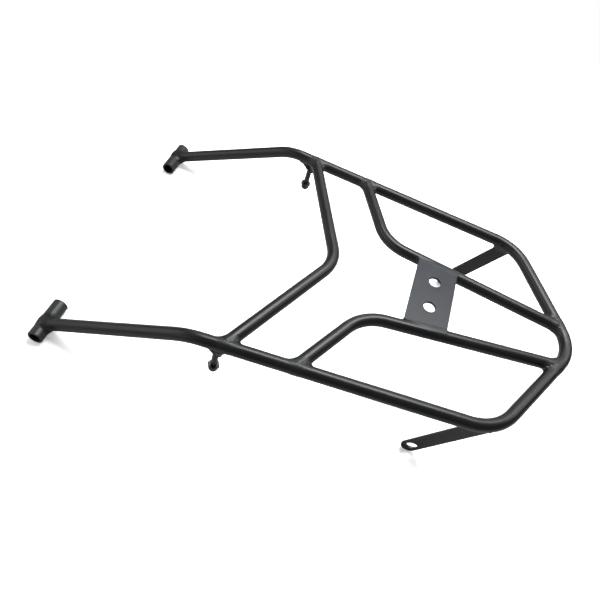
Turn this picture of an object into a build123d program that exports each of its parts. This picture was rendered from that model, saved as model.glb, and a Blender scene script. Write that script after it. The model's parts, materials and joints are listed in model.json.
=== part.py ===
"""Welded steel-tube tail rack: a bent perimeter rail, a V-shaped crossbar, two inner rails and a plate.

Everything is modelled in the deck frame: x runs aft, y to the right and z up from the plane of the
deck tubes' centrelines, with x = 0 at the front bends. The last step stands the rack on the ground,
on its two front bosses and the tips of its two rear stays, with the origin under its middle.
"""
from build123d import *
import os
from math import asin, atan2, cos, degrees, hypot, radians, sin, sqrt

# ---- driving dimensions, mm ----
tube_d = 14.0
tube_wall = 1.5
tube_r = tube_d / 2

# perimeter rail: corner points of its centreline
front_half_width = 160.2
tail_corner = (314.5, 135.0)
tail_apex = 390.0
arm_reach = 163.0
arm_half_width = 162.8
arm_drop = 82.4
front_bend_r = 65.0
arm_joint = 16.5
corner_bend_r = 53.0
apex_bend_r = 50.0

# crossbar and inner rails
crossbar_joint = 36.3
crossbar_apex = 108.4
crossbar_bend_r = 48.0
inner_joint = 108.3
inner_corner = (156.3, 59.2)
inner_end = 374.5
inner_bend_r = 50.0

# feather edge trimmed off the ends of every tube coped onto the perimeter rail
cope_trim = 1.0

# mounting plate, set between the inner rails with its top level with theirs
plate_front = 198.4
plate_back = 246.4
plate_t = 3.0
plate_hole_d = 14.0
plate_hole_pitch = 38.6

# front bosses: sleeves across the ends of the arms
boss_d = 17.0
boss_bore = 12.5
boss_length = 50.0
boss_mid = 158.0
boss_chamfer = 0.5

# pegs: cranked rods under the front bends, each with a domed nut
peg_d = 6.5
peg_root = (18.7, -4.0)
peg_elbow = (30.7, -16.0)
peg_elbow_r = 5.0
peg_lean = 2.0
nut_across_flats = 11.0
nut_dome_d = 10.4
nut_hex_h = 5.0
nut_chamfer = 0.6
nut_dome_h = 6.7
nut_bore_depth = 8.0
nut_drop = 21.8

# rear stays: straight flat bars, upright in planes along the rack, with an eye near the foot
stay_w = 18.0
stay_t = 3.0
stay_y = 132.4
stay_eye = (259.3, -90.4)
stay_head = (303.5, -4.0)
stay_eye_d = 12.6
stay_toe = 4.5

# welds
weld_leg = 4.5
weld_depth = 5.0
plate_weld_front = 3.0
plate_weld_back = 4.0
crown_gap = 1.5
stay_weld_w = 11.0
stay_weld_drop = 12.5
stay_weld_lip = 0.2
stay_weld_length = 12.0
peg_collar = 0.6
peg_collar_lip = 0.3
peg_collar_reach = 6.0
peg_bead_x = 34.2
peg_bead_r = (6.2, 2.6)
peg_bead_z = (-6.0, -18.5)

sides = {"left": -1, "right": 1}


def rail_y(x):
    """Half width of the perimeter rail's centreline on its straight side."""
    slope = (tail_corner[1] - front_half_width) / tail_corner[0]
    return front_half_width + slope * x


def tail_y(x):
    """Half width of the perimeter rail's centreline on its straight tail."""
    return tail_corner[1] * (tail_apex - x) / (tail_apex - tail_corner[0])


def inner_y(x):
    """Half width of an inner rail's centreline on its long straight."""
    slope = (tail_y(inner_end) - inner_corner[1]) / (inner_end - inner_corner[0])
    return inner_corner[1] + slope * (x - inner_corner[0])


def trimmed(end, corner):
    """End of a coped tube, set back from the rail's centreline towards the tube's first corner."""
    way = (Vector(*corner) - Vector(*end)).normalized()
    return tuple(Vector(*end) + way * cope_trim)


def rod(points, bend_radii, diameter):
    """Solid round bar along straight runs joined by tangent bends."""
    with BuildPart() as bar:
        with BuildLine() as path:
            FilletPolyline(*points, radius=bend_radii)
        with BuildSketch(Plane(origin=path.line @ 0, z_dir=path.line % 0)):
            Circle(diameter / 2)
        sweep(path=path.line)
    return bar.part


def tube(points, bend_radii, cut_by):
    """Hollow tube along the same kind of path, coped where it meets the solids in cut_by."""
    with BuildPart() as hollow:
        add(rod(points, bend_radii, tube_d))
        add(rod(points, bend_radii, tube_d - 2 * tube_wall), mode=Mode.SUBTRACT)
        for solid in cut_by:
            add(solid, mode=Mode.SUBTRACT)
    return hollow


def crotch_weld(joint, run, branch, run_r, cut_by):
    """Wedges in the two corners between a run and a branch tube that meet at a joint point."""
    run, branch = Vector(*run).normalized(), Vector(*branch).normalized()
    with BuildPart() as weld:
        with BuildSketch(Plane(origin=joint, x_dir=run, z_dir=run.cross(branch))):
            for way in (1, -1):
                turn = radians(branch.get_angle(run * way))
                along_branch = (run_r + tube_r * cos(turn)) / sin(turn)
                along_run = tube_r * sin(turn) + along_branch * cos(turn)
                up_branch = along_branch + weld_leg
                on_run = (way * (along_run + weld_leg), run_r)
                on_branch = (way * (tube_r * sin(turn) + up_branch * cos(turn)),
                             up_branch * sin(turn) - tube_r * cos(turn))
                Polygon((0, 0), on_run, on_branch, align=None)
        extrude(amount=weld_depth, both=True)
        for solid in cut_by:
            add(solid, mode=Mode.SUBTRACT)
    return weld


pieces = {}

# ---- front bosses ----
boss_blanks = {}
for side, s in sides.items():
    boss_end = Plane(origin=(-arm_reach, s * boss_mid, -arm_drop), z_dir=(0, s, 0))
    with BuildPart() as boss_blank:
        with BuildSketch(boss_end):
            Circle(boss_d / 2)
        extrude(amount=boss_length / 2, both=True)
    boss_blanks[side] = boss_blank.part
    with BuildPart() as boss:
        add(boss_blank.part)
        with BuildSketch(boss_end):
            Circle(boss_bore / 2)
        extrude(amount=boss_length / 2, both=True, mode=Mode.SUBTRACT)
        chamfer(boss.edges().filter_by(GeomType.CIRCLE), length=boss_chamfer)
    pieces[side + "_front_boss"] = boss

# ---- perimeter rail: two cranked arms butted onto a hoop that runs round the deck ----
arm_ends = {}
for side, s in sides.items():
    arm_ends[side] = [
        (-arm_reach, s * arm_half_width, -arm_drop),
        (0, s * front_half_width, 0),
        (arm_joint, s * rail_y(arm_joint), 0),
    ]
    arm = tube(arm_ends[side], [front_bend_r], [boss_blanks[side]])
    pieces[side + "_front_arm"] = arm

hoop_corners = [(tail_corner[0], -tail_corner[1], 0), (tail_apex, 0, 0), (tail_corner[0], tail_corner[1], 0)]
hoop_bends = [corner_bend_r, apex_bend_r, corner_bend_r]
hoop_path = [arm_ends["left"][-1]] + hoop_corners + [arm_ends["right"][-1]]
pieces["deck_hoop"] = tube(hoop_path, hoop_bends, [])

rail_path = arm_ends["left"][:2] + hoop_corners + arm_ends["right"][1::-1]
rail_solid = rod(rail_path, [front_bend_r] + hoop_bends + [front_bend_r], tube_d)

# ---- front crossbar ----
bar_middle = (crossbar_apex, 0, 0)
bar_path = [
    trimmed((crossbar_joint, -rail_y(crossbar_joint), 0), bar_middle),
    bar_middle,
    trimmed((crossbar_joint, rail_y(crossbar_joint), 0), bar_middle),
]
bar_solid = rod(bar_path, [crossbar_bend_r], tube_d)
pieces["front_crossbar"] = tube(bar_path, [crossbar_bend_r], [rail_solid])

# ---- inner rails ----
inner_solids = {}
for side, s in sides.items():
    inner_middle = (inner_corner[0], s * inner_corner[1], 0)
    inner_path = [
        trimmed((inner_joint, s * rail_y(inner_joint), 0), inner_middle),
        inner_middle,
        trimmed((inner_end, s * tail_y(inner_end), 0), inner_middle),
    ]
    inner_solids[side] = rod(inner_path, [inner_bend_r], tube_d)
    pieces[side + "_inner_rail"] = tube(inner_path, [inner_bend_r], [rail_solid])

# ---- mounting plate ----
plate_bottom = tube_r - plate_t
inner_toe_in = atan2(inner_corner[1] - tail_y(inner_end), inner_end - inner_corner[0])
plate_gap = sqrt(tube_r**2 - plate_bottom**2) / cos(inner_toe_in)
front_half = inner_y(plate_front) - plate_gap
back_half = inner_y(plate_back) - plate_gap
with BuildPart() as plate:
    with BuildSketch(Plane.XY.offset(plate_bottom)):
        Polygon(
            (plate_front, -front_half),
            (plate_back, -back_half),
            (plate_back, back_half),
            (plate_front, front_half),
            align=None,
        )
    extrude(amount=plate_t)
    with Locations(((plate_front + plate_back) / 2, 0, tube_r)):
        with GridLocations(0, plate_hole_pitch, 1, 2):
            Hole(plate_hole_d / 2)
pieces["mounting_plate"] = plate

# ---- rear stays ----
stay_rise = atan2(stay_head[1] - stay_eye[1], stay_head[0] - stay_eye[0])
toe = (stay_eye[0] - stay_toe * cos(stay_rise), stay_eye[1] - stay_toe * sin(stay_rise))
stay_length = hypot(stay_head[0] - toe[0], stay_head[1] - toe[1])
for side, s in sides.items():
    stay_face = Plane(
        origin=(toe[0], s * stay_y, toe[1]),
        x_dir=(cos(stay_rise), 0, sin(stay_rise)),
        z_dir=(0, s, 0),
    )
    with BuildPart() as stay:
        with BuildSketch(stay_face):
            Circle(stay_w / 2)
            with Locations((stay_length / 2, 0)):
                Rectangle(stay_length, stay_w)
            with Locations((stay_toe, 0)):
                Circle(stay_eye_d / 2, mode=Mode.SUBTRACT)
        extrude(amount=stay_t / 2, both=True)
        add(rail_solid, mode=Mode.SUBTRACT)
    pieces[side + "_rear_stay"] = stay

# ---- pegs and their domed nuts ----
down = Vector(-sin(radians(peg_lean)), 0, -cos(radians(peg_lean)))
peg_rods = {}
for side, s in sides.items():
    peg_y = s * rail_y(peg_elbow[0])
    elbow = Vector(peg_elbow[0], peg_y, peg_elbow[1])
    peg_path = [(peg_root[0], peg_y, peg_root[1]), elbow, elbow + down * (nut_drop + nut_bore_depth)]
    with BuildPart() as peg:
        add(rod(peg_path, [peg_elbow_r], peg_d))
        add(rail_solid, mode=Mode.SUBTRACT)
    peg_rods[side] = peg.part
    pieces[side + "_peg"] = peg

    nut_face = Plane(origin=elbow + down * nut_drop, z_dir=-down)
    with BuildPart() as nut:
        with BuildSketch(nut_face):
            RegularPolygon(nut_across_flats / 2, 6, major_radius=False)
        extrude(amount=-nut_hex_h)
        chamfer(nut.faces().sort_by(Axis.Z)[-1].edges(), length=nut_chamfer)
        with BuildSketch(Plane(origin=nut_face.origin, x_dir=Vector(0, 1, 0).cross(-down), z_dir=(0, -1, 0))):
            with BuildLine():
                dome_foot = nut_dome_d / 2 - nut_hex_h - nut_dome_h
                Polyline(
                    (0, -nut_hex_h - nut_dome_h),
                    (0, -nut_hex_h / 2),
                    (nut_dome_d / 2, -nut_hex_h / 2),
                    (nut_dome_d / 2, dome_foot),
                )
                CenterArc((0, dome_foot), nut_dome_d / 2, start_angle=270, arc_size=90)
            make_face()
        revolve(axis=Axis(nut_face.origin, nut_face.z_dir))
        with BuildSketch(nut_face):
            Circle(peg_d / 2)
        extrude(amount=-nut_bore_depth, mode=Mode.SUBTRACT)
    pieces[side + "_peg_nut"] = nut

# ---- welds ----
for side, s in sides.items():
    rail_run = (tail_corner[0], s * (tail_corner[1] - front_half_width), 0)
    tail_run = (tail_apex - tail_corner[0], -s * tail_corner[1], 0)

    pieces[side + "_crossbar_weld"] = crotch_weld(
        joint=(crossbar_joint, s * rail_y(crossbar_joint), 0),
        run=rail_run,
        branch=(crossbar_apex - crossbar_joint, -s * rail_y(crossbar_joint), 0),
        run_r=tube_r,
        cut_by=[rail_solid, bar_solid],
    )
    pieces[side + "_inner_front_weld"] = crotch_weld(
        joint=(inner_joint, s * rail_y(inner_joint), 0),
        run=rail_run,
        branch=(inner_corner[0] - inner_joint, s * (inner_corner[1] - rail_y(inner_joint)), 0),
        run_r=tube_r,
        cut_by=[rail_solid, inner_solids[side]],
    )
    pieces[side + "_inner_back_weld"] = crotch_weld(
        joint=(inner_end, s * tail_y(inner_end), 0),
        run=tail_run,
        branch=(inner_corner[0] - inner_end, s * (inner_corner[1] - tail_y(inner_end)), 0),
        run_r=tube_r,
        cut_by=[rail_solid, inner_solids[side]],
    )
    pieces[side + "_boss_weld"] = crotch_weld(
        joint=(-arm_reach, s * arm_half_width, -arm_drop),
        run=(0, 1, 0),
        branch=(arm_reach, s * (front_half_width - arm_half_width), arm_drop),
        run_r=boss_d / 2,
        cut_by=[rail_solid, boss_blanks[side]],
    )

    # fills the valley between the plate's end and the crown of the inner rail
    weld_front = plate_front - plate_weld_front
    weld_back = plate_back + plate_weld_back
    with BuildPart() as plate_weld:
        with BuildSketch(Plane.XY.offset(plate_bottom)):
            Polygon(
                (weld_front, s * (inner_y(weld_front) - plate_gap)),
                (weld_back, s * (inner_y(weld_back) - plate_gap)),
                (weld_back, s * (inner_y(weld_back) - crown_gap)),
                (weld_front, s * (inner_y(weld_front) - crown_gap)),
                align=None,
            )
        extrude(amount=plate_t)
        add(inner_solids[side], mode=Mode.SUBTRACT)
    pieces[side + "_plate_weld"] = plate_weld

    # tapering fillets along both faces of the stay's head
    head_x, head_y = stay_head[0], s * stay_y
    with BuildPart() as stay_weld:
        with BuildSketch(Plane(origin=(head_x, head_y, 0), x_dir=(0, 1, 0), z_dir=(1, 0, 0))):
            Polygon(
                (-stay_weld_w / 2, stay_head[1]),
                (stay_weld_w / 2, stay_head[1]),
                (stay_t / 2 + stay_weld_lip, -stay_weld_drop),
                (-stay_t / 2 - stay_weld_lip, -stay_weld_drop),
                align=None,
            )
        extrude(amount=stay_weld_length / 2, both=True)
        add(rail_solid, mode=Mode.SUBTRACT)
        add(pieces[side + "_rear_stay"].part, mode=Mode.SUBTRACT)
    pieces[side + "_stay_weld"] = stay_weld

    # collar round the peg where it leaves the rail, and a heavier bead on the aft side of its crank
    peg_y = s * rail_y(peg_elbow[0])
    peg_way = Vector(peg_elbow[0] - peg_root[0], 0, peg_elbow[1] - peg_root[1])
    root = Plane(origin=(peg_root[0], peg_y, peg_root[1]), z_dir=peg_way)
    with BuildPart() as peg_weld:
        with BuildSketch(root):
            Circle(peg_d / 2 + peg_collar)
        with BuildSketch(root.offset(peg_collar_reach)):
            Circle(peg_d / 2 + peg_collar_lip)
        loft()
        for bead_z, bead_r in zip(peg_bead_z, peg_bead_r):
            with BuildSketch(Plane(origin=(peg_bead_x, peg_y, bead_z))):
                Circle(bead_r)
        loft()
        for solid in (rail_solid, bar_solid, peg_rods[side]):
            add(solid, mode=Mode.SUBTRACT)
    pieces[side + "_peg_weld"] = peg_weld

# ---- stand the rack on its bosses and stay tips, origin under the middle of it ----
span = toe[0] + arm_reach
drop = -arm_drop - toe[1]
pitch = asin((stay_w - boss_d) / 2 / hypot(span, drop)) + atan2(drop, span)
level = Rotation(0, -degrees(pitch), 0)
stance = Compound([piece.part for piece in pieces.values()]).moved(level).bounding_box()
resting = Pos(-stance.center().X, 0, -stance.min.Z) * level

os.makedirs("parts", exist_ok=True)
for label, piece in pieces.items():
    piece.part.label = label
    piece.part.location = resting
    export_step(piece.part, f"parts/{label}.step")
print("pitch", round(degrees(pitch), 3), "degrees, size", stance.size)
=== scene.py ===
"""Looks of the welded tail rack: bent tubes, weld beads, softened plate work and a satin black powder coat.

Lengths are in metres. Every piece is built in the deck frame (x aft, y right, z up from the plane of the
deck tubes' centrelines, x = 0 at the front bends). The mount on top of the plate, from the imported
record, lays that frame into the row frame.
"""

import json
import math

import bmesh
import bpy
import numpy as np
from mathutils import Matrix, Quaternion, Vector


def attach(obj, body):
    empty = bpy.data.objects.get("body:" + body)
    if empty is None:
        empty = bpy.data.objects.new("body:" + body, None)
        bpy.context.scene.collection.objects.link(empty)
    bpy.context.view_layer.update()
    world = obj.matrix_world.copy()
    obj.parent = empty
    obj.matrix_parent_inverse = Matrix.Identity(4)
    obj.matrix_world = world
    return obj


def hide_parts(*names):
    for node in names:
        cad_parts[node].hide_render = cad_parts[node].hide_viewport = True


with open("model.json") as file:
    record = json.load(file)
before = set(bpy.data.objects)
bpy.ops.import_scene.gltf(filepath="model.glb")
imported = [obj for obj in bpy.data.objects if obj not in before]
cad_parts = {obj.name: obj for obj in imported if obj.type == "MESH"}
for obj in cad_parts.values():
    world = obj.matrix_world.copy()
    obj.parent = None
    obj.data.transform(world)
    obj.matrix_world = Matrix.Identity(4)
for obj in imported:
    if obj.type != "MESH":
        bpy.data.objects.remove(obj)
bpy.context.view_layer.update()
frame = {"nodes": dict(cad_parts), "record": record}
record = frame["record"]
mounts = {mount["name"]: mount for mount in record["mounts"]}

# ---- sizes of the rack, in the deck frame ----
TUBE_R = 0.007
FRONT_HALF_WIDTH = 0.1602
TAIL_CORNER = (0.3145, 0.135)
TAIL_APEX = 0.390
ARM_REACH, ARM_HALF_WIDTH, ARM_DROP = 0.163, 0.1628, 0.0824
ARM_JOINT = 0.0165
FRONT_BEND_R, CORNER_BEND_R, APEX_BEND_R = 0.065, 0.053, 0.050
CROSSBAR_JOINT, CROSSBAR_APEX, CROSSBAR_BEND_R = 0.0363, 0.1084, 0.048
INNER_JOINT, INNER_CORNER, INNER_END, INNER_BEND_R = 0.1083, (0.1563, 0.0592), 0.3745, 0.050
PLATE_FRONT, PLATE_BACK, PLATE_T = 0.1984, 0.2464, 0.003
PLATE_HOLE_R, PLATE_HOLE_PITCH = 0.007, 0.0386
BOSS_R, BOSS_BORE_R, BOSS_MID, BOSS_LENGTH, BOSS_CHAMFER = 0.0085, 0.00625, 0.158, 0.050, 0.0005
PEG_R, PEG_ROOT, PEG_ELBOW, PEG_ELBOW_R = 0.00325, (0.0187, -0.004), (0.0307, -0.016), 0.005
PEG_LEAN, PEG_DROP = math.radians(2.0), 0.0298
NUT_DROP, NUT_FLATS, NUT_HEX_H, NUT_DOME_R, NUT_DOME_H = 0.0218, 0.011, 0.005, 0.0052, 0.0067
NUT_SEAT_SHARE = 0.9
STAY_W, STAY_T, STAY_Y = 0.018, 0.003, 0.1324
STAY_EYE, STAY_HEAD, STAY_EYE_R, STAY_TOE = (0.2593, -0.0904), (0.3035, -0.004), 0.0063, 0.0045
SIDES = {"left": -1, "right": 1}
RIGHT = Vector((0, 1, 0))

# ---- sizes of the welds ----
# for each joint: how far the fillet runs out on each surface; the share of its height that is left
# level with the crowns of the deck tubes; and the box that it is meshed in, as the shift of the
# box's middle from the joint (y outwards) and its half sizes
WELDS = {
    "crossbar": (0.0080, 0.35, (0.003, -0.008, 0), (0.025, 0.017, 0.0095)),
    "inner_front": (0.0080, 0.35, (0.003, -0.008, 0), (0.025, 0.017, 0.0095)),
    "inner_back": (0.0080, 0.35, (-0.008, 0.003, 0), (0.019, 0.023, 0.0095)),
    "boss": (0.0068, 1.0, (0.005, 0, 0.0025), (0.015, 0.0175, 0.0165)),
    "plate": (0.0045, 0.2, (0, -0.004, 0.003), (0.034, 0.013, 0.006)),
    "stay": (0.0060, 1.0, (0, 0, -0.008), (0.021, 0.014, 0.011)),
    "peg": (0.0040, 1.0, (-0.003, 0, -0.009), (0.017, 0.012, 0.010)),
}
# size of a bead mesh's cells, how deep a bead reaches into the metal, and its least height
BEAD_STEP, BEAD_ROOT, BEAD_EDGE = 0.0005, 0.0016, 0.00003
# ripples: pitch, height, and how far in radians they trail at a bead's edges
RIPPLE_PITCH, RIPPLE_HEIGHT, RIPPLE_LAG = 0.0024, 0.00026, 2.2
# how far a branch's line stops short of the rail's, and the share of its last step that this may take
BRANCH_END, BRANCH_END_SHARE = 0.0055, 0.9
# clearances: beads above the floor, and the plate's edge from the crown line of an inner rail
FLOOR_GAP, PLATE_CROWN_GAP = 0.0003, 0.0015
# half length of the top of a stay that its weld meets
STAY_STUB = 0.03
# lump of weld behind each peg: a cone that narrows downwards between two heights
PEG_LUMP_X, PEG_LUMP_R, PEG_LUMP_Z = 0.0342, (0.0062, 0.0026), (-0.006, -0.0185)

# ---- deck frame to row frame, read from the mount on top of the plate ----
deck_up = Vector(mounts["plate_top"]["axis"])
deck_aft = RIGHT.cross(deck_up)
plate_middle = (PLATE_FRONT + PLATE_BACK) / 2
deck = Matrix((deck_aft, RIGHT, deck_up)).transposed().to_4x4()
deck.translation = Vector(mounts["plate_top"]["pos_m"]) - deck_aft * plate_middle - deck_up * TUBE_R


def rail_y(x):
    """Half width of the perimeter rail's centreline on its straight side."""
    return FRONT_HALF_WIDTH + (TAIL_CORNER[1] - FRONT_HALF_WIDTH) / TAIL_CORNER[0] * x


def tail_y(x):
    """Half width of the perimeter rail's centreline on its straight tail."""
    return TAIL_CORNER[1] * (TAIL_APEX - x) / (TAIL_APEX - TAIL_CORNER[0])


def inner_y(x):
    """Half width of an inner rail's centreline on its long straight."""
    slope = (tail_y(INNER_END) - INNER_CORNER[1]) / (INNER_END - INNER_CORNER[0])
    return INNER_CORNER[1] + slope * (x - INNER_CORNER[0])


# ---- centrelines ----
def bent(corners, radii, run_step=0.006, turn_step=math.radians(3)):
    """Points along straight runs joined by tangent arcs, as an array."""
    corners = [Vector(c) for c in corners]
    points = [corners[0]]
    for before, corner, after, radius in zip(corners, corners[1:], corners[2:], radii):
        way_in, way_out = (corner - before).normalized(), (after - corner).normalized()
        turn = way_in.angle(way_out)
        start = corner - way_in * radius * math.tan(turn / 2)
        axis = way_in.cross(way_out).normalized()
        centre = start + axis.cross(way_in) * radius
        steps = math.ceil(turn / turn_step)
        points += straight(points[-1], start, run_step)
        for step in range(1, steps + 1):
            points.append(centre + Quaternion(axis, turn * step / steps) @ (start - centre))
    points += straight(points[-1], corners[-1], run_step)
    return np.array(points)


def straight(start, end, run_step):
    """Points after start, up to end, evenly spaced."""
    count = max(1, round((end - start).length / run_step))
    return [start.lerp(end, step / count) for step in range(1, count + 1)]


peg_back, peg_fall = PEG_DROP * math.sin(PEG_LEAN), PEG_DROP * math.cos(PEG_LEAN)
arm_lines, inner_lines, peg_lines = {}, {}, {}
for side, s in SIDES.items():
    arm_lines[side] = bent(
        [(-ARM_REACH, s * ARM_HALF_WIDTH, -ARM_DROP), (0, s * FRONT_HALF_WIDTH, 0),
         (ARM_JOINT, s * rail_y(ARM_JOINT), 0)],
        [FRONT_BEND_R],
    )
    inner_lines[side] = bent(
        [(INNER_JOINT, s * rail_y(INNER_JOINT), 0), (INNER_CORNER[0], s * INNER_CORNER[1], 0),
         (INNER_END, s * tail_y(INNER_END), 0)],
        [INNER_BEND_R],
    )
    peg_y = s * rail_y(PEG_ELBOW[0])
    peg_lines[side] = bent(
        [(PEG_ROOT[0], peg_y, PEG_ROOT[1]), (PEG_ELBOW[0], peg_y, PEG_ELBOW[1]),
         (PEG_ELBOW[0] - peg_back, peg_y, PEG_ELBOW[1] - peg_fall)],
        [PEG_ELBOW_R],
        turn_step=math.radians(6),
    )
hoop_line = bent(
    [(ARM_JOINT, -rail_y(ARM_JOINT), 0), (TAIL_CORNER[0], -TAIL_CORNER[1], 0), (TAIL_APEX, 0, 0),
     (TAIL_CORNER[0], TAIL_CORNER[1], 0), (ARM_JOINT, rail_y(ARM_JOINT), 0)],
    [CORNER_BEND_R, APEX_BEND_R, CORNER_BEND_R],
)
rail_line = np.concatenate([arm_lines["left"][:-1], hoop_line, arm_lines["right"][-2::-1]])
crossbar_line = bent(
    [(CROSSBAR_JOINT, -rail_y(CROSSBAR_JOINT), 0), (CROSSBAR_APEX, 0, 0),
     (CROSSBAR_JOINT, rail_y(CROSSBAR_JOINT), 0)],
    [CROSSBAR_BEND_R],
)


# ---- powder coat ----
# paler tone of the painted highlight on convex edges
EDGE_HIGHLIGHT_TONE = (0.060, 0.061, 0.064, 1)
THIN_SHARE, THICK_SHARE = 0.82, 1.18


def link(tree, source, target):
    tree.links.new(source, target)


def powder_coat(name, tone=(0.0100, 0.0104, 0.0112), rough=0.32, grain=0.10, edge_highlight=0.35):
    """Satin black powder coat: fine pebbled grain, soft orange peel, patchy gloss and a painted highlight
    on convex edges.
    """
    material = bpy.data.materials.new(name)
    material.use_nodes = True
    tree = material.node_tree
    shader = tree.nodes["Principled BSDF"]
    shader.inputs["IOR"].default_value = 1.5
    shader.inputs["Specular IOR Level"].default_value = 0.5
    place = tree.nodes.new("ShaderNodeTexCoord")

    def noise(scale, detail):
        node = tree.nodes.new("ShaderNodeTexNoise")
        node.inputs["Scale"].default_value = scale
        node.inputs["Detail"].default_value = detail
        link(tree, place.outputs["Object"], node.inputs["Vector"])
        return node.outputs["Fac"]

    def ramp(source, low, high, least, most):
        node = tree.nodes.new("ShaderNodeMapRange")
        node.inputs["From Min"].default_value = low
        node.inputs["From Max"].default_value = high
        node.inputs["To Min"].default_value = least
        node.inputs["To Max"].default_value = most
        link(tree, source, node.inputs["Value"])
        return node.outputs["Result"]

    # colour: slow patches of slightly thicker coat, and a painted highlight that makes convex edges a
    # little paler
    geometry = tree.nodes.new("ShaderNodeNewGeometry")
    edges = ramp(geometry.outputs["Pointiness"], low=0.53, high=0.60, least=0.0, most=edge_highlight)
    patches = ramp(noise(scale=22.0, detail=3.0), low=0.35, high=0.65, least=0.0, most=1.0)
    coat = tree.nodes.new("ShaderNodeMix")
    coat.data_type = "RGBA"
    coat.inputs["A"].default_value = (*[THIN_SHARE * c for c in tone], 1)
    coat.inputs["B"].default_value = (*[THICK_SHARE * c for c in tone], 1)
    link(tree, patches, coat.inputs["Factor"])
    edge_lit = tree.nodes.new("ShaderNodeMix")
    edge_lit.data_type = "RGBA"
    edge_lit.inputs["B"].default_value = EDGE_HIGHLIGHT_TONE
    link(tree, edges, edge_lit.inputs["Factor"])
    link(tree, coat.outputs["Result"], edge_lit.inputs["A"])
    link(tree, edge_lit.outputs["Result"], shader.inputs["Base Color"])

    # gloss: handling marks, about two centimetres across
    marks = noise(scale=45.0, detail=4.0)
    gloss = ramp(marks, low=0.3, high=0.7, least=rough - 0.035, most=rough + 0.045)
    link(tree, gloss, shader.inputs["Roughness"])

    # surface: pebbled grain of about half a millimetre over an orange peel of about three
    peel = tree.nodes.new("ShaderNodeBump")
    peel.inputs["Strength"].default_value = 0.16
    peel.inputs["Distance"].default_value = 0.0004
    link(tree, noise(scale=330.0, detail=1.0), peel.inputs["Height"])
    pebble = tree.nodes.new("ShaderNodeBump")
    pebble.inputs["Strength"].default_value = grain
    pebble.inputs["Distance"].default_value = 0.0002
    link(tree, noise(scale=1900.0, detail=2.0), pebble.inputs["Height"])
    link(tree, peel.outputs["Normal"], pebble.inputs["Normal"])
    link(tree, pebble.outputs["Normal"], shader.inputs["Normal"])
    return material


# edge_highlight: how strongly each coat's convex edges get the painted highlight
coats = {
    "coated_tube": powder_coat("tube_coat"),
    "coated_plate": powder_coat("plate_coat", tone=(0.0095, 0.0135, 0.0205), rough=0.36),
    "coated_boss": powder_coat("boss_coat", rough=0.38, edge_highlight=0.6),
    "coated_bar": powder_coat("bar_coat", rough=0.42, edge_highlight=0.45),
    "coated_rod": powder_coat("rod_coat", rough=0.40),
    "coated_nut": powder_coat("nut_coat", rough=0.38, grain=0.06, edge_highlight=0.5),
    "coated_weld": powder_coat("weld_coat", rough=0.37, grain=0.12, edge_highlight=0.15),
}
# the CAD nodes take the coats too, though a piece is shown in the place of each
node_slots = {part["node"]: part["material_slot"] for part in record["subparts"]}
for node, shown in frame["nodes"].items():
    shown.data.materials.clear()
    shown.data.materials.append(coats[node_slots[node]])


# ---- pieces ----
def make_piece(name, vertices, faces, *nodes):
    """New mesh in the row frame, given in the deck frame, that stands for CAD nodes."""
    mesh = bpy.data.meshes.new(name)
    mesh.from_pydata([deck @ Vector(v) for v in vertices], [], faces)
    return stand_in(name, mesh, *nodes)


def stand_in(name, mesh, *nodes):
    """Makes mesh the piece that is shown in the place of CAD nodes, with their coat."""
    slot = node_slots[nodes[0]]
    mesh.polygons.foreach_set("use_smooth", [True] * len(mesh.polygons))
    mesh.materials.clear()
    mesh.materials.append(coats[slot])
    piece = bpy.data.objects.new(name, mesh)
    bpy.context.scene.collection.objects.link(piece)
    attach(piece, "root")
    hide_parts(*nodes)
    return piece


def swept_bar(name, line, radius, *nodes, segments=40):
    """Round bar along a centreline, closed by flat ends inside the pieces that it meets."""
    ways = np.gradient(line, axis=0)
    side_way = Vector(ways[0]).orthogonal().normalized()
    vertices, faces = [], []
    for point, way in zip(line, ways):
        way = Vector(way).normalized()
        side_way = (side_way - way * side_way.dot(way)).normalized()
        up_way = way.cross(side_way)
        for turn in range(segments):
            angle = 2 * math.pi * turn / segments
            out = side_way * math.cos(angle) + up_way * math.sin(angle)
            vertices.append(Vector(point) + radius * out)
    for row in range(len(line) - 1):
        for turn in range(segments):
            a, b = row * segments + turn, row * segments + (turn + 1) % segments
            faces.append((a, b, b + segments, a + segments))
    faces.append(tuple(reversed(range(segments))))
    faces.append(tuple(range(len(vertices) - segments, len(vertices))))
    return make_piece(name, vertices, faces, *nodes)


def lathe(name, node, centre, way, profile, segments=64):
    """Ring turned about an axis from a closed profile of (distance along, radius) points."""
    side_way = way.orthogonal().normalized()
    up_way = way.cross(side_way)
    vertices, faces = [], []
    for turn in range(segments):
        angle = 2 * math.pi * turn / segments
        out = side_way * math.cos(angle) + up_way * math.sin(angle)
        vertices += [Vector(centre) + way * along + out * radius for along, radius in profile]
    count = len(profile)
    for turn in range(segments):
        here, ahead = turn * count, (turn + 1) % segments * count
        for step in range(count):
            after = (step + 1) % count
            faces.append((here + step, here + after, ahead + after, ahead + step))
    piece = make_piece(name, vertices, faces, node)
    keep_creases(piece)
    return piece


def keep_creases(piece, angle=math.radians(40)):
    """Smooth shading that stops at corners sharper than angle, from edge marks in the mesh itself."""
    shape = bmesh.new()
    shape.from_mesh(piece.data)
    bmesh.ops.recalc_face_normals(shape, faces=shape.faces)
    for edge in shape.edges:
        edge.smooth = edge.calc_face_angle(0) < angle
    shape.to_mesh(piece.data)
    shape.free()


def ring(centre, radius, count=72, start=0.0, sweep=2 * math.pi):
    """Points round a circle, or round part of it with both its ends."""
    turns = count if sweep == 2 * math.pi else count - 1
    angles = [start + sweep * turn / turns for turn in range(count)]
    return [(centre[0] + radius * math.cos(a), centre[1] + radius * math.sin(a)) for a in angles]


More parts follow.
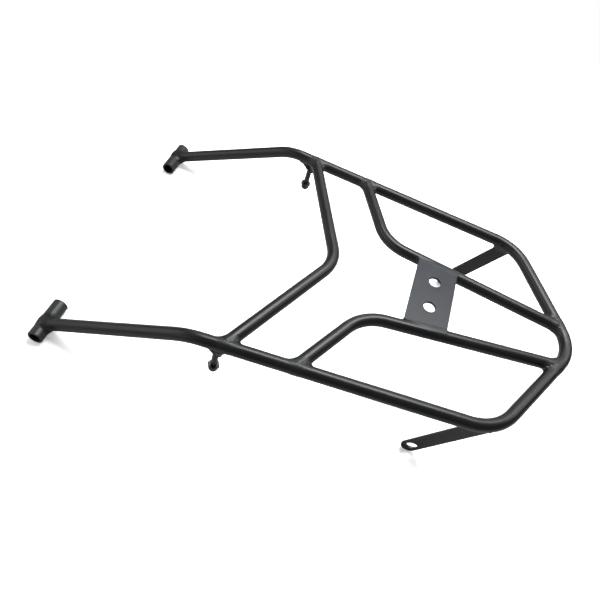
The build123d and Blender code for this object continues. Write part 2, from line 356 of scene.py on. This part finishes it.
def flat_piece(name, node, outline, holes, thickness, lay, rounding=0.0004, flat=0.999):
    """Cut sheet with rounded edges; lay carries its middle plane into the deck frame.

    Faces that point along the sheet's own normal, to within the cosine flat, are shaded flat.
    """
    curve = bpy.data.curves.new(name, "CURVE")
    curve.dimensions, curve.fill_mode = "2D", "BOTH"
    for loop in [outline, *holes]:
        spline = curve.splines.new("POLY")
        spline.points.add(len(loop) - 1)
        for point, (x, y) in zip(spline.points, loop):
            point.co = (x, y, 0, 1)
        spline.use_cyclic_u = True
    curve.extrude = thickness / 2 - rounding
    curve.bevel_depth, curve.bevel_resolution, curve.offset = rounding, 2, -rounding
    holder = bpy.data.objects.new(name + "_outline", curve)
    mesh = bpy.data.meshes.new_from_object(holder)
    bpy.data.objects.remove(holder)
    bpy.data.curves.remove(curve)
    mesh.transform(deck @ lay)
    shape = bmesh.new()
    shape.from_mesh(mesh)
    bmesh.ops.remove_doubles(shape, verts=shape.verts, dist=1e-6)
    bmesh.ops.recalc_face_normals(shape, faces=shape.faces)
    shape.to_mesh(mesh)
    shape.free()
    piece = stand_in(name, mesh, node)
    keep_creases(piece)
    face_way = (deck @ lay).to_3x3().col[2].normalized()
    for face in mesh.polygons:
        face.use_smooth = abs(face.normal.dot(face_way)) < flat
    return piece


swept_bar("rail_tube", rail_line, TUBE_R, "deck_hoop", "left_front_arm", "right_front_arm")
swept_bar("crossbar_tube", crossbar_line, TUBE_R, "front_crossbar")
for side in SIDES:
    swept_bar(side + "_inner_tube", inner_lines[side], TUBE_R, side + "_inner_rail")
    swept_bar(side + "_peg_rod", peg_lines[side], PEG_R, side + "_peg", segments=28)


def domed_nut(name, node, seat, way, segments=72, dome_rings=9):
    """Hexagon nut with turned corners and a domed end, as rings from its seat to the tip of the dome."""
    half_flat = math.pi / 6
    round_limit = NUT_FLATS / 2
    full = round_limit / math.cos(half_flat)
    lead = (full - round_limit) * math.tan(half_flat)
    foot = NUT_HEX_H + NUT_DOME_H - NUT_DOME_R
    rings = [(0, NUT_SEAT_SHARE * round_limit), (0, round_limit), (lead, full), (NUT_HEX_H - lead, full),
             (NUT_HEX_H, round_limit), (NUT_HEX_H, NUT_DOME_R), (foot, NUT_DOME_R)]
    for step in range(1, dome_rings):
        turn = math.pi / 2 * step / dome_rings
        rings.append((foot + NUT_DOME_R * math.sin(turn), NUT_DOME_R * math.cos(turn)))
    corner_way = way.cross(RIGHT)
    vertices, faces = [], []
    for along, limit in rings:
        for turn in range(segments):
            angle = 2 * math.pi * turn / segments
            off_flat = (angle + half_flat) % (2 * half_flat) - half_flat
            radius = min(limit, round_limit / math.cos(off_flat))
            out = RIGHT * math.cos(angle) + corner_way * math.sin(angle)
            vertices.append(seat + way * along + out * radius)
    for row in range(len(rings) - 1):
        for turn in range(segments):
            a, b = row * segments + turn, row * segments + (turn + 1) % segments
            faces.append((a, a + segments, b + segments, b))
    faces.append(tuple(range(segments)))
    faces.append(tuple(reversed(range(len(vertices) - segments, len(vertices)))))
    keep_creases(make_piece(name, vertices, faces, node), angle=math.radians(25))


peg_down = Vector((-math.sin(PEG_LEAN), 0, -math.cos(PEG_LEAN)))
for side, s in SIDES.items():
    peg_elbow = Vector((PEG_ELBOW[0], s * rail_y(PEG_ELBOW[0]), PEG_ELBOW[1]))
    domed_nut(side + "_domed_nut", side + "_peg_nut", peg_elbow + peg_down * NUT_DROP, peg_down)

# plate, from crown fillet to crown fillet
plate_z = TUBE_R - PLATE_T / 2
plate_gap = math.sqrt(TUBE_R**2 - (TUBE_R - PLATE_T) ** 2)
plate_front_half, plate_back_half = inner_y(PLATE_FRONT) - plate_gap, inner_y(PLATE_BACK) - plate_gap
flat_piece(
    "drilled_plate", "mounting_plate",
    [(PLATE_FRONT, -plate_front_half), (PLATE_BACK, -plate_back_half),
     (PLATE_BACK, plate_back_half), (PLATE_FRONT, plate_front_half)],
    [ring((plate_middle, s * PLATE_HOLE_PITCH / 2), PLATE_HOLE_R) for s in SIDES.values()],
    PLATE_T, Matrix.Translation((0, 0, plate_z)),
)

# stays: round foot about the toe, straight sides up to a head that ends inside the rail
stay_run = Vector((STAY_HEAD[0] - STAY_EYE[0], 0, STAY_HEAD[1] - STAY_EYE[1]))
stay_way = stay_run.normalized()
stay_edge_way = RIGHT.cross(stay_way)
for side, s in SIDES.items():
    stay_lay = Matrix((stay_way, stay_edge_way, RIGHT)).transposed().to_4x4()
    stay_lay.translation = (STAY_EYE[0], s * STAY_Y, STAY_EYE[1])
    foot = ring((-STAY_TOE, 0), STAY_W / 2, count=40, start=math.pi / 2, sweep=math.pi)
    flat_piece(
        side + "_stay_bar", side + "_rear_stay",
        foot + [(stay_run.length, -STAY_W / 2), (stay_run.length, STAY_W / 2)],
        [ring((0, 0), STAY_EYE_R)], STAY_T, stay_lay,
    )
    half, bevel = BOSS_LENGTH / 2, BOSS_CHAMFER
    lathe(
        side + "_sleeve", side + "_front_boss", (-ARM_REACH, s * BOSS_MID, -ARM_DROP), RIGHT,
        [(-half, BOSS_BORE_R + bevel), (-half, BOSS_R - bevel), (-half + bevel, BOSS_R),
         (half - bevel, BOSS_R), (half, BOSS_R - bevel), (half, BOSS_BORE_R + bevel),
         (half - bevel, BOSS_BORE_R), (bevel - half, BOSS_BORE_R)],
    )


# ---- weld beads: the blend between two surfaces, meshed where it stands proud of both ----
def to_line(points, line, radius):
    """Signed distance from points to a round bar along a centreline."""
    nearest = np.full(len(points), np.inf)
    reach = np.linalg.norm(points.max(0) - points.min(0))
    for start, end in zip(line[:-1], line[1:]):
        if np.linalg.norm((start + end) / 2 - points.mean(0)) > reach:
            continue
        run = end - start
        along = np.clip((points - start) @ run / (run @ run), 0, 1)
        nearest = np.minimum(nearest, np.linalg.norm(points - start - along[:, None] * run, axis=1))
    return nearest - radius


def to_block(points, centre, ways, half):
    """Signed distance from points to a block with the given half sizes along three ways."""
    outside = np.abs((points - np.array(centre)) @ np.array(ways).T) - np.array(half)
    return np.linalg.norm(np.maximum(outside, 0), axis=1) + np.minimum(outside.max(axis=1), 0)


def to_cone(points, x, y, heights, radii):
    """Distance from points to an upright cone that narrows from the first height down to the second."""
    share = (points[:, 2] - heights[0]) / (heights[1] - heights[0])
    lean = math.cos(math.atan2(radii[0] - radii[1], heights[0] - heights[1]))
    radius = radii[0] + (radii[1] - radii[0]) * np.clip(share, 0, 1)
    out = (np.hypot(points[:, 0] - x, points[:, 1] - y) - radius) * lean
    return np.maximum(out, np.maximum(points[:, 2] - heights[0], heights[1] - points[:, 2]))


def round_way(centre, way, radius):
    """Ripples laid round a bar: their phase grows with the angle about its axis."""
    way = np.array(way, float) / np.linalg.norm(way)
    flat = np.cross(way, (0, 0, 1.0))
    flat /= np.linalg.norm(flat)
    count = round(2 * math.pi * radius / RIPPLE_PITCH)

    def phase(points):
        out = points - centre
        return count * np.arctan2(out @ np.cross(flat, way), out @ flat)

    return phase


def along_way(way):
    """Ripples laid along a straight seam."""
    return lambda points: points @ (np.array(way) / np.linalg.norm(way)) * 2 * math.pi / RIPPLE_PITCH


def bead(side, joint, place, first, second, phase, lump=None):
    """Fillet weld at a place where two solids meet, both given as distance functions.

    phase turns points into the angle of the ripples. lump is a solid that is weld metal too, and
    that the second solid includes.
    """
    leg, crown, shift, half = WELDS[joint]
    middle = np.array(place) + np.array(shift) * (1, SIDES[side], 1)
    floor_way = np.array(deck.to_3x3().row[2])

    def field(points):
        one, two = first(points), second(points)
        blend = np.maximum(leg - np.abs(one - two), 0) / leg
        share = 1 - (1 - crown) * np.clip(points[:, 2] / TUBE_R, -1, 1) ** 2
        bulge = blend**2 * leg / 4 * share
        lag = RIPPLE_LAG * np.clip((one - two) / leg, -1, 1) ** 2
        ripple = RIPPLE_HEIGHT * np.sin(phase(points) + lag) * blend**2 * share
        plain = np.minimum(one, two)
        outer = plain - bulge + ripple + 2 * BEAD_EDGE
        height = points @ floor_way + deck.translation.z
        inner_side = np.maximum(-plain - BEAD_ROOT, FLOOR_GAP - height)
        value = np.maximum(np.maximum(outer, BEAD_EDGE - bulge), inner_side)
        return value if lump is None else np.minimum(value, lump(points))

    net = surface_net(field, middle - np.array(half), middle + np.array(half), BEAD_STEP)
    make_piece(f"{side}_{joint}_bead", *main_part(*net), f"{side}_{joint}_weld")


def main_part(vertices, faces):
    """The largest connected part of a mesh, without stray specks."""
    parent = list(range(len(vertices)))

    def root(vertex):
        while parent[vertex] != vertex:
            parent[vertex] = parent[parent[vertex]]
            vertex = parent[vertex]
        return vertex

    for face in faces:
        for corner in face[1:]:
            parent[root(corner)] = root(face[0])
    roots = np.array([root(vertex) for vertex in range(len(vertices))])
    kept = roots == np.bincount(roots).argmax()
    renumbered = np.cumsum(kept) - 1
    return vertices[kept], [renumbered[face].tolist() for face in faces if kept[face[0]]]


def surface_net(field, low, high, step):
    """Closed quad mesh of the surface where field is zero, one vertex in each cell that it crosses."""
    counts = np.ceil((high - low) / step).astype(int) + 1
    axes = [low[k] + step * np.arange(counts[k]) for k in range(3)]
    grid = np.stack(np.meshgrid(*axes, indexing="ij"), axis=-1)
    values = field(grid.reshape(-1, 3)).reshape(counts)
    for k in range(3):
        for end in (0, -1):
            np.moveaxis(values, k, 0)[end] = step
    cells = counts - 1
    total, hits = np.zeros((*cells, 3)), np.zeros(cells)
    crossings = []
    for k in range(3):
        ahead = [slice(None)] * 3
        behind = [slice(None)] * 3
        ahead[k], behind[k] = slice(1, None), slice(None, -1)
        start, end = values[tuple(behind)], values[tuple(ahead)]
        crossed = (start < 0) != (end < 0)
        share = np.where(crossed, start / np.where(crossed, start - end, 1), 0)
        point = grid[tuple(behind)].copy()
        point[..., k] += share * step
        across = [a for a in range(3) if a != k]
        for da in (0, 1):
            for db in (0, 1):
                take = [slice(None)] * 3
                for a, d in zip(across, (da, db)):
                    take[a] = slice(1, None) if d else slice(None, -1)
                total += np.where(crossed[tuple(take)][..., None], point[tuple(take)], 0)
                hits += crossed[tuple(take)]
        crossings.append((k, across, crossed, start < 0))
    index = np.full(cells, -1)
    used = hits > 0
    index[used] = np.arange(used.sum())
    vertices = total[used] / hits[used][:, None]
    faces = []
    for k, (a, b), crossed, inside in crossings:
        corners = np.argwhere(crossed)
        corners = corners[(corners[:, a] > 0) & (corners[:, b] > 0)]
        corners = corners[(corners[:, a] < cells[a]) & (corners[:, b] < cells[b])]
        rings = []
        for da, db in ((1, 1), (0, 1), (0, 0), (1, 0)):
            cell = corners.copy()
            cell[:, a] -= da
            cell[:, b] -= db
            rings.append(index[tuple(cell.T)])
        rings = np.stack(rings, axis=1)
        flipped = inside[tuple(corners.T)] == (k == 1)
        rings[flipped] = rings[flipped][:, ::-1]
        faces += rings.tolist()
    return polish(field, vertices, step), faces


def polish(field, vertices, step, rounds=3, probe=0.1, least_slope=0.25):
    """Moves each vertex down the field's slope on to its zero surface, never more than half a cell.

    probe is the reach of the slope's measurement, in cells, and least_slope bounds its square.
    """
    nudges = step * probe * np.eye(3)
    placed = vertices.copy()
    for _ in range(rounds):
        value = field(placed)
        rises = [field(placed + nudge) - field(placed - nudge) for nudge in nudges]
        slope = np.stack(rises, axis=1) / (2 * step * probe)
        placed -= (value / np.maximum((slope**2).sum(1), least_slope))[:, None] * slope
        placed = vertices + np.clip(placed - vertices, -step / 2, step / 2)
    return placed


def rail(points):
    return to_line(points, rail_line, TUBE_R)


def cut_back(line, length):
    """Centreline whose ends stop short, so that no weld swells on the far side of the rail it meets."""
    line = line.copy()
    for end, inward in ((0, 1), (-1, -2)):
        way = line[inward] - line[end]
        line[end] += way / np.linalg.norm(way) * min(length, BRANCH_END_SHARE * np.linalg.norm(way))
    return line


crossbar_core = cut_back(crossbar_line, BRANCH_END)
inner_cores = {side: cut_back(line, BRANCH_END) for side, line in inner_lines.items()}


def crossbar(points):
    return to_line(points, crossbar_core, TUBE_R)


def weld_side(side, s):
    """All the weld beads of one side of the rack."""
    def inner(points):
        return to_line(points, inner_cores[side], TUBE_R)

    def boss(points):
        # twice as long as the sleeve, so that its rounded ends lie outside the weld's box
        ends = [(-ARM_REACH, s * (BOSS_MID + end * BOSS_LENGTH), -ARM_DROP) for end in (-1, 1)]
        return to_line(points, np.array(ends), BOSS_R)

    def peg_lump(points):
        return to_cone(points, PEG_LUMP_X, s * rail_y(PEG_ELBOW[0]), PEG_LUMP_Z, PEG_LUMP_R)

    def peg(points):
        return np.minimum(to_line(points, peg_lines[side], PEG_R), peg_lump(points))

    def stay(points):
        centre = Vector((STAY_HEAD[0], s * STAY_Y, STAY_HEAD[1])) - stay_way * STAY_STUB
        half = (STAY_STUB, STAY_T / 2, STAY_W / 2)
        return to_block(points, centre, (stay_way, RIGHT, stay_edge_way), half)

    def plate(points):
        half = ((PLATE_BACK - PLATE_FRONT) / 2, inner_y(plate_middle) - PLATE_CROWN_GAP, PLATE_T / 2)
        return to_block(points, (plate_middle, 0, plate_z), np.eye(3), half)

    inner_corner = np.array((INNER_CORNER[0], s * INNER_CORNER[1], 0))
    tube_ends = {
        "crossbar": (crossbar, (CROSSBAR_JOINT, s * rail_y(CROSSBAR_JOINT), 0), (CROSSBAR_APEX, 0, 0)),
        "inner_front": (inner, (INNER_JOINT, s * rail_y(INNER_JOINT), 0), inner_corner),
        "inner_back": (inner, (INNER_END, s * tail_y(INNER_END), 0), inner_corner),
    }
    for joint, (branch, place, towards) in tube_ends.items():
        ripples = round_way(place, np.array(towards) - place, TUBE_R)
        bead(side, joint, place, rail, branch, ripples)

    arm_end = (-ARM_REACH, s * ARM_HALF_WIDTH, -ARM_DROP)
    arm_way = (ARM_REACH, s * (FRONT_HALF_WIDTH - ARM_HALF_WIDTH), ARM_DROP)
    bead(side, "boss", arm_end, boss, rail, round_way(arm_end, arm_way, TUBE_R))

    plate_edge = (plate_middle, s * inner_y(plate_middle), 0)
    bead(side, "plate", plate_edge, inner, plate, along_way((1, 0, 0)))

    stay_top = (STAY_HEAD[0], s * STAY_Y, 0)
    bead(side, "stay", stay_top, rail, stay, along_way((1, 0, 0)))

    peg_y = s * rail_y(PEG_ELBOW[0])
    peg_way = (PEG_ELBOW[0] - PEG_ROOT[0], 0, PEG_ELBOW[1] - PEG_ROOT[1])
    peg_ripples = round_way((PEG_ROOT[0], peg_y, PEG_ROOT[1]), peg_way, PEG_R)
    bead(side, "peg", (PEG_ELBOW[0], peg_y, 0), rail, peg, peg_ripples, lump=peg_lump)


for side, s in SIDES.items():
    weld_side(side, s)


# ---- floor, light and camera ----
def make_floor(radius=1.1, corners=96, glow=0.30):
    """Paper that is lit past full white for the eye, and is pale grey for the light that it throws back."""
    mesh = bpy.data.meshes.new("floor")
    mesh.from_pydata([(x, y, 0) for x, y in ring((0, 0), radius, corners)], [], [tuple(range(corners))])
    material = bpy.data.materials.new("floor_paper")
    material.use_nodes = True
    tree = material.node_tree
    plain = tree.nodes["Principled BSDF"]
    plain.inputs["Base Color"].default_value = (0.6, 0.6, 0.6, 1)
    plain.inputs["Roughness"].default_value = 0.9
    plain.inputs["Specular IOR Level"].default_value = 0.1
    paper = tree.nodes.new("ShaderNodeBsdfDiffuse")
    paper.inputs["Color"].default_value = (1, 1, 1, 1)
    shine = tree.nodes.new("ShaderNodeEmission")
    shine.inputs["Strength"].default_value = glow
    lit_twice = tree.nodes.new("ShaderNodeAddShader")
    bright = tree.nodes.new("ShaderNodeAddShader")
    shown = tree.nodes.new("ShaderNodeMixShader")
    path = tree.nodes.new("ShaderNodeLightPath")
    link(tree, plain.outputs["BSDF"], lit_twice.inputs[0])
    link(tree, paper.outputs["BSDF"], lit_twice.inputs[1])
    link(tree, lit_twice.outputs["Shader"], bright.inputs[0])
    link(tree, shine.outputs["Emission"], bright.inputs[1])
    link(tree, path.outputs["Is Camera Ray"], shown.inputs["Fac"])
    link(tree, plain.outputs["BSDF"], shown.inputs[1])
    link(tree, bright.outputs["Shader"], shown.inputs[2])
    link(tree, shown.outputs["Shader"], tree.nodes["Material Output"].inputs["Surface"])
    mesh.materials.append(material)
    floor = bpy.data.objects.new("floor", mesh)
    bpy.context.scene.collection.objects.link(floor)


def soft_light(name, place, size, radiance, aim=(0, 0, 0.06), tint=(0.98, 0.99, 1.0)):
    """Rectangular softbox of a given brightness, turned towards the rack."""
    data = bpy.data.lights.new(name, "AREA")
    data.shape = "RECTANGLE"
    data.size, data.size_y = size
    data.color = tint
    data.energy = radiance * math.pi * size[0] * size[1]
    light = bpy.data.objects.new(name, data)
    light.location = place
    light.rotation_mode = "QUATERNION"
    light.rotation_quaternion = (Vector(place) - Vector(aim)).to_track_quat("Z", "Y")
    bpy.context.scene.collection.objects.link(light)


def make_world(seen=1.0, lit=0.12):
    """Dim room for the light, plain white for the eye."""
    world = bpy.data.worlds.new("studio")
    bpy.context.scene.world = world
    world.use_nodes = True
    tree = world.node_tree
    back = tree.nodes["Background"]
    path = tree.nodes.new("ShaderNodeLightPath")
    strength = tree.nodes.new("ShaderNodeMapRange")
    strength.inputs["To Min"].default_value = lit
    strength.inputs["To Max"].default_value = seen
    link(tree, path.outputs["Is Camera Ray"], strength.inputs["Value"])
    link(tree, strength.outputs["Result"], back.inputs["Strength"])
    back.inputs["Color"].default_value = (1, 1, 1, 1)


def make_camera(place, azimuth, elevation, roll, lens, sensor=36):
    """Camera that looks azimuth degrees round from +Y and elevation degrees down, rolled clockwise."""
    a, e = math.radians(azimuth), math.radians(elevation)
    ahead = Vector((math.sin(a) * math.cos(e), math.cos(a) * math.cos(e), -math.sin(e)))
    data = bpy.data.cameras.new("camera")
    data.lens = lens
    data.sensor_width = sensor
    camera = bpy.data.objects.new("camera", data)
    camera.location = place
    camera.rotation_mode = "QUATERNION"
    camera.rotation_quaternion = Quaternion(ahead, -math.radians(roll)) @ ahead.to_track_quat("-Z", "Y")
    bpy.context.scene.collection.objects.link(camera)
    bpy.context.scene.camera = camera


make_floor()
soft_light("key", place=(0.05, 0.50, 1.28), size=(0.9, 0.62), radiance=9.3)
soft_light("wing", place=(1.15, 0.85, 1.20), size=(1.0, 0.8), radiance=2.4)
soft_light("back", place=(0.10, 1.90, 1.10), size=(2.6, 1.3), radiance=0.9)
soft_light("front_side", place=(-1.90, -0.10, 1.10), size=(1.8, 1.6), radiance=1.0)
soft_light("front_low", place=(-1.20, -1.20, 0.65), size=(1.6, 1.0), radiance=0.6)
make_world()
make_camera(
    place=(-0.01014, -0.4395, 0.560697), azimuth=-1.913, elevation=51.3606, roll=20.5384, lens=33.459,
)
bpy.context.scene.view_settings.view_transform = "Standard"
